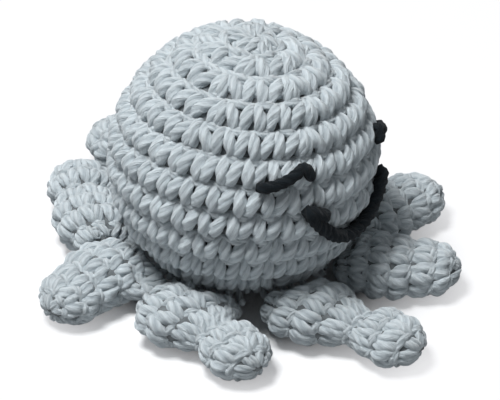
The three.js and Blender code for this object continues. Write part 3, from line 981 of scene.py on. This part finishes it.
class ArmCovers(bpy.types.Operator):
    """Crochet the eight arms from the toe to the root and stuff them"""

    bl_idname = "octopus.arm_covers"
    bl_label = "Crochet the arms"

    def execute(self, context):
        scene = context.scene
        ball, arms = scene.octopus_ball, scene.octopus_arms
        places = [ArmPlaces(arm, arms, ball) for arm in ARM_LIES]
        for number, (arm, place) in enumerate(zip(ARM_LIES, places)):
            skin = dished(arm_form(place, arms), place, ball, arms.ball_gap)
            skin = parted(skin, place, places[(number + 1) % len(places)], arms.arm_gap)
            form = Form(even_rows(pressed(skin), 200))
            root = Form(even_rows(root_form(place, arms), 80))
            self.cover(arm, place, form, number)
            self.root(arm, place, root, number)
        return {"FINISHED"}

    def cover(self, arm, place, form, number):
        """The stuffed part of the cover, which lifts as one."""
        scene = bpy.context.scene
        yarn, arms = scene.octopus_yarn, scene.octopus_arms
        legs, loops = crocheted(form, ARM_ROUNDS, yarn, yarn.arm_dive, yarn.arm_loop_depth, 101 + number, 0.3)
        stuffing_depth = arms.wall + scene.octopus_inside.gap
        outer, inner, stuffing = (
            dished(inset(form, depth), place, scene.octopus_ball, depth * 0.8)[ends:-ends:4, ::4]
            for depth, ends in ((arms.backing, 6), (arms.wall, 6), (stuffing_depth, 16))
        )
        # The cover's inside is a sheet coloured as painted shade, seen through the gaps between the stitches
        backing = skin_mesh(f"arm_{arm}_cover_inside", [outer, inner[::-1]])
        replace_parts(dressed(backing, painted_shade_backing_material()), f"arm_{arm}_shell")
        filling = skin_mesh(f"arm_{arm}_stuffing", [stuffing])
        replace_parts(dressed(filling, filling_material()), f"arm_{arm}_filling")
        for piece in (backing, filling, yarn_piece(f"arm_{arm}_stitches", legs + loops)):
            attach(piece, f"arm_{arm}")

    def root(self, arm, place, root, number):
        """The pinched root between its seam and the stuffed part, and the whip stitches."""
        scene = bpy.context.scene
        yarn, arms = scene.octopus_yarn, scene.octopus_arms
        dive = yarn.arm_dive * 0.7
        legs, loops = crocheted(root, ROOT_ROUNDS, yarn, dive, yarn.arm_loop_depth, 201 + number, 0.3)
        # The root's inside is a sheet coloured as painted shade, seen through the gaps between the stitches
        inside = skin_mesh(f"arm_{arm}_root_inside", [inset(root, arms.root_backing)[2:-4:2, ::3]])
        for piece in (
            dressed(inside, painted_shade_backing_material()),
            yarn_piece(f"arm_{arm}_root_stitches", legs + loops, 12),
        ):
            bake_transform(piece)
        stitches = self.whip_stitches(place, number, arms.seam_thread / 2)
        seam = yarn_piece(f"arm_{arm}_whip_stitches", [stitches])
        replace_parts(seam, f"arm_{arm}_seam")
        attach(seam, "head")

    def whip_stitches(self, place, number, radius):
        """Slanting stitches from the ball round the underside of the root.

        A stitch's reaches from the ball's upright axis and its heights are in millimetres."""
        random = np.random.default_rng(301 + number)
        reaches = (12.8, 13.0, 13.25, 13.55, 13.9, 14.3)
        heights = (4.7, 3.9, 3.35, 3.1, 3.15, 3.6)
        count, half_seam, slant = 5, 3.4, 1.2
        t = np.linspace(0, 1, 16)
        knots = np.linspace(0, 1, len(reaches))
        starts = np.linspace(-half_seam, half_seam, count)[:, None] + random.normal(0, 0.12, (count, 1))
        across = (starts + slant * (t - 0.5)) * MM
        reach, height = (np.interp(t, knots, line)[None, :] * MM for line in (reaches, heights))
        bent = reach - np.sqrt(np.maximum(reach ** 2 - across ** 2, 0))
        reach = reach - bent * (1 - eased(t, 0.1, 0.6))
        out, side = heading(place.azimuth), heading(place.azimuth + math.pi / 2)
        centres = out * reach[..., None] + side * across[..., None] + np.array([0, 0, 1]) * height[..., None]
        outward = unit(centres - (place.root + side * across[..., None]))
        return varied(random, centres, outward, radius)


class Insides(bpy.types.Operator):
    """Fill the ball: loose fibre round a cloth pouch of dried catnip, and the wad that closes it"""

    bl_idname = "octopus.insides"
    bl_label = "Fill the ball"

    def execute(self, context):
        scene = context.scene
        ball, inside = scene.octopus_ball, scene.octopus_inside
        middle, gap = ball.diameter / 2 - ball.sole, inside.gap
        fill_reach = ball.diameter / 2 - ball.wall - gap
        pouch_reach = inside.pouch / 2
        foot = middle - math.sqrt(pouch_reach ** 2 - inside.neck ** 2)
        hem_end = foot - inside.neck_length
        neck_hole = inside.neck + 2 * inside.tie + 2 * gap
        cavity = pouch_reach + gap

        # The filling and the wad leave room for their own soft lumps
        lump = 0.4 * MM
        filling = self.arc(fill_reach - lump, middle, 0, self.polar(neck_hole + lump, fill_reach))
        filling += self.arc(cavity + gap, middle, self.polar(neck_hole + gap, cavity), 0)
        self.fibre("ball_filling", filling, 0.35 * MM, "head_filling")
        wad_reach, wad_top = (neck_hole - gap) * 0.95, hem_end - 0.5 * MM
        wad = [(0, wad_top), ((neck_hole - gap) * 0.6, wad_top), (wad_reach, hem_end - 1.1 * MM)]
        wad += self.arc(fill_reach - gap, middle, self.polar(wad_reach, fill_reach), math.pi)
        self.fibre("closing_wad_fibre", wad, 0.2 * MM, "closing_wad")

        self.pouch(inside, middle, foot, hem_end)
        self.tie(inside, hem_end)
        self.catnip(inside, middle)
        return {"FINISHED"}

    def polar(self, reach, radius):
        """Angle down from the crown at which a circle comes to this reach below its middle."""
        return math.pi - math.asin(reach / radius)

    def arc(self, radius, middle, start, end, steps=26):
        """Reach and height of points on a circle round the ball's middle, by angle down from the crown."""
        angles = np.linspace(start, end, steps)
        return [(radius * math.sin(a), middle + radius * math.cos(a)) for a in angles]

    def turned(self, profile, columns=96, pleats=None):
        """Rows once round the upright, from a profile of reaches and heights."""
        profile = np.array(profile)
        turn = -2 * math.pi * np.arange(columns)[None, :] / columns
        reach = profile[:, :1] * (1 + (pleats(profile, turn) if pleats else 0))
        height = np.broadcast_to(profile[:, 1:], (len(profile), columns))
        return np.stack([reach * np.cos(turn), reach * np.sin(turn), height], axis=-1)

    def placed(self, piece, node, fill=None):
        """Ride the piece on the head, as what shows of this node where there is one. Its fill is not used."""
        if node:
            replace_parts(piece, node)
        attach(piece, "head")

    def fibre(self, name, profile, height, node):
        """A round mass of loose fibre with soft lumps of this height."""
        rows = self.turned(profile)
        rows = rows + unit(rows - rows.mean(axis=(0, 1))) * lumps(rows, height, 2.3 * MM)[..., None]
        piece = dressed(skin_mesh(name, [rows]), filling_material())
        self.placed(piece, node, 0.75)

    def pouch(self, inside, middle, foot, hem_end):
        """A cloth bag, gathered into its neck, with a short hem that flares below the tie."""
        wall, neck, reach = inside.cloth_wall, inside.neck, inside.pouch / 2
        waist, hem = hem_end + 1.6 * MM, neck + inside.tie
        bore, hollow = neck - wall, reach - wall
        flare = [(neck, foot - 1 * MM), (neck, waist), (hem * 0.9, hem_end + 0.5 * MM), (hem, hem_end)]
        outside = self.arc(reach, middle, 0, self.polar(neck, reach), 40) + flare
        within = [(across - wall, height) for across, height in reversed(flare)]
        within += self.arc(hollow, middle, self.polar(bore, hollow), 0, 40)

        def pleats(profile, turn):
            gathered = 0.055 * eased(middle - profile[:, 1:], reach * 0.35, reach * 1.15)
            folds = np.cos(15 * turn + 0.7 * np.sin(2 * turn))
            return gathered * folds * np.minimum(1, profile[:, :1] / bore)

        rows = self.turned(outside + within, 180, pleats)
        # The tied neck and its hem are drawn in a little
        rows[..., :2] *= np.where(rows[..., 2:] < waist + 0.8 * MM, 0.97, 1.0)
        piece = skin_mesh("catnip_pouch_cloth", [rows])
        dressed(piece, pouch_finish("pouch_cotton", inside.cloth))
        self.placed(piece, "catnip_pouch", 0.8)

    def tie(self, inside, hem_end):
        """Two turns of yarn round the neck, their ends crossed and cut short."""
        turns, radius = 2.12, 0.42 * MM
        t = np.linspace(0, 1, 90)
        turn = 2 * math.pi * turns * t
        lap = 0.36 * MM * np.sin(math.pi * turns * (t - 0.5))
        reach = inside.neck + inside.gap + inside.tie + 0.12 * MM * np.sin(3 * turn)
        height = hem_end + 1.9 * MM + inside.tie + lap
        centres = np.stack([reach * np.cos(turn), reach * np.sin(turn), height], axis=-1)
        strand = Strands(centres[None], unit(centres * (1, 1, 0)), radius, 0, 0.4)
        self.placed(yarn_piece("pouch_tie_yarn", [strand]), "pouch_tie")

    def catnip(self, inside, middle):
        """Crumbled leaf: a rough heap that fills the pouch, with loose flakes on it."""
        random = np.random.default_rng(401)
        finish = herb_finish("dried_catnip_leaf", inside.herb)
        reach = inside.pouch / 2 - inside.cloth_wall - inside.gap
        rows = self.turned(self.arc(reach - 0.6 * MM, middle, 0, math.pi, 60), 90)
        heart = np.array([0, 0, middle])
        rough = lumps(rows, 0.35 * MM, 0.9 * MM) + lumps(rows, 0.15 * MM, 0.4 * MM)
        heap = skin_mesh("catnip_heap", [rows + unit(rows - heart) * rough[..., None]])
        self.placed(dressed(heap, finish), "dried_catnip", 0.8)
        count = 420
        # Each flake is a short flat spindle that lies along the heap and bends with it
        out = unit(random.normal(0, 1, (count, 1, 3)))
        lie = unit(np.cross(out, random.normal(0, 1, (count, 1, 3))))
        t = np.linspace(-1, 1, 5)[None, :, None]
        long = random.uniform(0.4, 0.9, (count, 1, 1)) * MM
        centres = heart + out * (reach - 0.55 * MM - 0.3 * long * t ** 2) + lie * long * t
        leaves = varied(random, centres, out, (0.1 + 0.28 * (1 - t[..., 0] ** 2)) * MM)
        flakes = strand_mesh("catnip_flakes", [leaves], sides=5, plies=1, twist=4 * MM, ply_depth=0.5)
        self.placed(dressed(flakes, finish), None)


def thread(form, sides, latitudes, width, proud):
    """A stitch of thread on the ball, by its turns from the face's middle and its latitudes.

    Its two ends are drawn in between the crochet stitches."""
    grid = np.linspace(0, 1, len(sides))
    t = np.linspace(0, 1, 22)
    side, latitude = (np.interp(t, grid, line) for line in (sides, latitudes))
    ends = (1 - eased(np.minimum(t, 1 - t), 0, 0.16)) ** 1.5
    along = (math.pi / 2 - latitude) / math.pi
    turn = (math.pi / 2 - side) / (2 * math.pi)
    centres, outward = form.at(along, turn, proud * (1 - 2.2 * ends))
    return Strands(centres[None], outward, width / 2 * (1 - 0.25 * ends), 0.3, 0.5)


class Face(bpy.types.Operator):
    """Sew the closed eyes and the smile in black thread"""

    bl_idname = "octopus.face"
    bl_label = "Sew the face"

    def execute(self, context):
        scene = context.scene
        ball, face = scene.octopus_ball, scene.octopus_face
        form = ball_form(ball)
        radius = ball.diameter / 2
        black = yarn_finish("black_thread", face.colour, face.groove, face.sheen)
        pieces = {}
        t = np.linspace(0, 1, 9)
        for name, mirror in (("left", -1), ("right", 1)):
            long_x = face.eye_span * (t - 0.5)
            long_y = face.eye_rise * (t - 0.5) - face.eye_bow * 4 * t * (1 - t)
            hook_x = face.eye_span / 2 + face.eye_hook_reach * t
            hook_y = face.eye_rise / 2 - face.eye_hook * t
            groups = []
            for x, y in ((long_x, long_y), (hook_x, hook_y)):
                side = mirror * (face.eye_side - x / radius / math.cos(face.eye_height))
                groups.append(thread(form, side, face.eye_height + y / radius, face.eye_thread, face.proud))
            pieces[f"{name}_eye_stitch"] = groups
        smile = []
        for i in range(face.mouth_stitches):
            s = (i + np.linspace(-0.06, 1.06, 9)) / face.mouth_stitches * 2 - 1
            side = s * face.mouth_span / 2 / radius
            height = face.mouth_height - face.mouth_drop * (1 - s ** 2) / radius
            smile.append(thread(form, side, height, face.mouth_thread, face.proud))
        side = (t * face.knot - face.mouth_span / 2) / radius
        height = face.mouth_height - t * face.knot_drop / radius
        smile.append(thread(form, side, height, face.mouth_thread, face.proud))
        pieces["mouth_stitch"] = smile
        for node, groups in pieces.items():
            piece = strand_mesh(f"{node}_thread", groups, 14, face.plies, face.twist, face.ply_depth)
            dressed(piece, black)
            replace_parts(piece, node)
            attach(piece, "head")
        return {"FINISHED"}


def corners(piece):
    """The points of a piece's mesh, in the frame."""
    flat = np.empty(3 * len(piece.data.vertices), np.float32)
    piece.data.vertices.foreach_get("co", flat)
    return flat.reshape(-1, 3)


class Stage(bpy.types.Operator):
    """Set the camera, the pale floor and the soft light"""

    bl_idname = "octopus.stage"
    bl_label = "Set the stage"

    def execute(self, context):
        stage = context.scene.octopus_stage
        data = bpy.data.cameras.new("view")
        data.lens = stage.lens
        data.clip_start = 0.01
        camera = bpy.data.objects.new("view", data)
        back = Vector((
            math.sin(stage.azimuth) * math.cos(stage.elevation),
            -math.cos(stage.azimuth) * math.cos(stage.elevation),
            math.sin(stage.elevation),
        ))
        turn = back.to_track_quat("Z", "Y")
        camera.location = self.framed(stage, back, turn, data.sensor_width / 2 / stage.lens)
        camera.rotation_euler = turn.to_euler()
        context.scene.collection.objects.link(camera)
        context.scene.camera = camera
        self.light(context, stage)
        self.floor(context)
        return {"FINISHED"}

    def framed(self, stage, back, turn, half_view):
        """Where the camera stands to hold the whole toy, in the middle of its picture of 5 to 4."""
        right, up = (np.array(turn @ Vector(side)) for side in ((1, 0, 0), (0, 1, 0)))
        back = np.array(back)
        points = np.concatenate([corners(piece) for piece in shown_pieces()])
        aim, away = points.mean(axis=0), 1.0
        for _ in range(6):
            seen = points - aim
            depth = away - seen @ back
            across, above = seen @ right / depth, seen @ up / depth
            aim = aim + away * (
                right * (across.max() + across.min()) / 2 + up * (above.max() + above.min()) / 2
            )
            spread = max(across.max() - across.min(), (above.max() - above.min()) * 5 / 4)
            away = away * spread * stage.margin / 2 / half_view
        return Vector(aim + back * away)

    def light(self, context, stage):
        """One soft lamp, a dim sky for the light on the toy, and white for what the camera sees."""
        world = bpy.data.worlds.new("studio")
        context.scene.world = world
        finish = Finish(world)
        sky, white = (
            finish.node("ShaderNodeBackground", {}, {"Color": tint, "Strength": strength})["Background"]
            for tint, strength in (((0.96, 0.98, 1.0, 1), stage.sky), ((0.99, 0.99, 1.0, 1), 1.0))
        )
        finish.surface(finish.blend(finish.seen(), sky, white), "ShaderNodeOutputWorld")
        data = bpy.data.lights.new("key", "AREA")
        data.energy = stage.key
        data.size = stage.key_size
        lamp = bpy.data.objects.new("key", data)
        lamp.location = stage.key_place
        lamp.rotation_euler = lamp.location.to_track_quat("Z", "Y").to_euler()
        context.scene.collection.objects.link(lamp)

    def floor(self, context):
        """A matt floor that holds the toy's shadow and fades to white away from it."""
        bpy.ops.mesh.primitive_grid_add(x_subdivisions=8, y_subdivisions=8, size=6, location=(0, 0, FLOOR))
        plane = context.object
        plane.name = "floor"
        finish = Finish(bpy.data.materials.new("pale_floor"))
        seen = finish.seen()
        unseen, shown = (
            finish.node("ShaderNodeBsdfDiffuse", {}, {"Color": tint})["BSDF"]
            for tint in ((0.5, 0.51, 0.52, 1), (0.94, 0.95, 0.96, 1))
        )
        matt = finish.blend(seen, unseen, shown)
        glow = finish.node("ShaderNodeEmission", {}, {"Color": (0.985, 0.985, 1.0, 1), "Strength": 1.0})
        away = finish.node("ShaderNodeVectorMath", {"operation": "LENGTH"}, {0: finish.place()})["Value"]
        # Most of the white comes in from 2 to 4 cm off the toy's middle, and the rest from 6 to 18 cm
        near = ((away - 0.02) / 0.02).clamped()
        far = ((away - 0.06) / 0.12).clamped()
        mixed = finish.blend(seen * (near * 0.78 + far * 0.22), matt, glow["Emission"])
        plane.data.materials.append(finish.surface(mixed))
        plane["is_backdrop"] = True


class OctopusPanel(bpy.types.Panel):
    """The steps of the toy, in the order in which they are made"""

    bl_idname = "VIEW3D_PT_octopus"
    bl_label = "Crocheted Octopus"
    bl_space_type = "VIEW_3D"
    bl_region_type = "UI"
    bl_category = "Octopus"

    def draw(self, context):
        for operator in OPERATORS:
            self.layout.operator(operator.bl_idname)


SETTINGS = {
    "octopus_yarn": OctopusYarn,
    "octopus_ball": OctopusBall,
    "octopus_face": OctopusFace,
    "octopus_arms": OctopusArms,
    "octopus_inside": OctopusInside,
    "octopus_stage": OctopusStage,
}
OPERATORS = (BallCover, ArmCovers, Insides, Face, Stage)


def register():
    for group in (*SETTINGS.values(), *OPERATORS, OctopusPanel):
        bpy.utils.register_class(group)
    for name, group in SETTINGS.items():
        setattr(bpy.types.Scene, name, bpy.props.PointerProperty(type=group))


def unregister():
    for name in SETTINGS:
        delattr(bpy.types.Scene, name)
    for group in (OctopusPanel, *reversed(OPERATORS), *reversed(SETTINGS.values())):
        bpy.utils.unregister_class(group)


def main():
    register()
    bpy.context.scene.view_settings.view_transform = "Standard"
    bpy.ops.octopus.ball_cover()
    bpy.ops.octopus.arm_covers()
    bpy.ops.octopus.insides()
    bpy.ops.octopus.face()
    bpy.ops.octopus.stage()


if __name__ == "__main__":
    main()
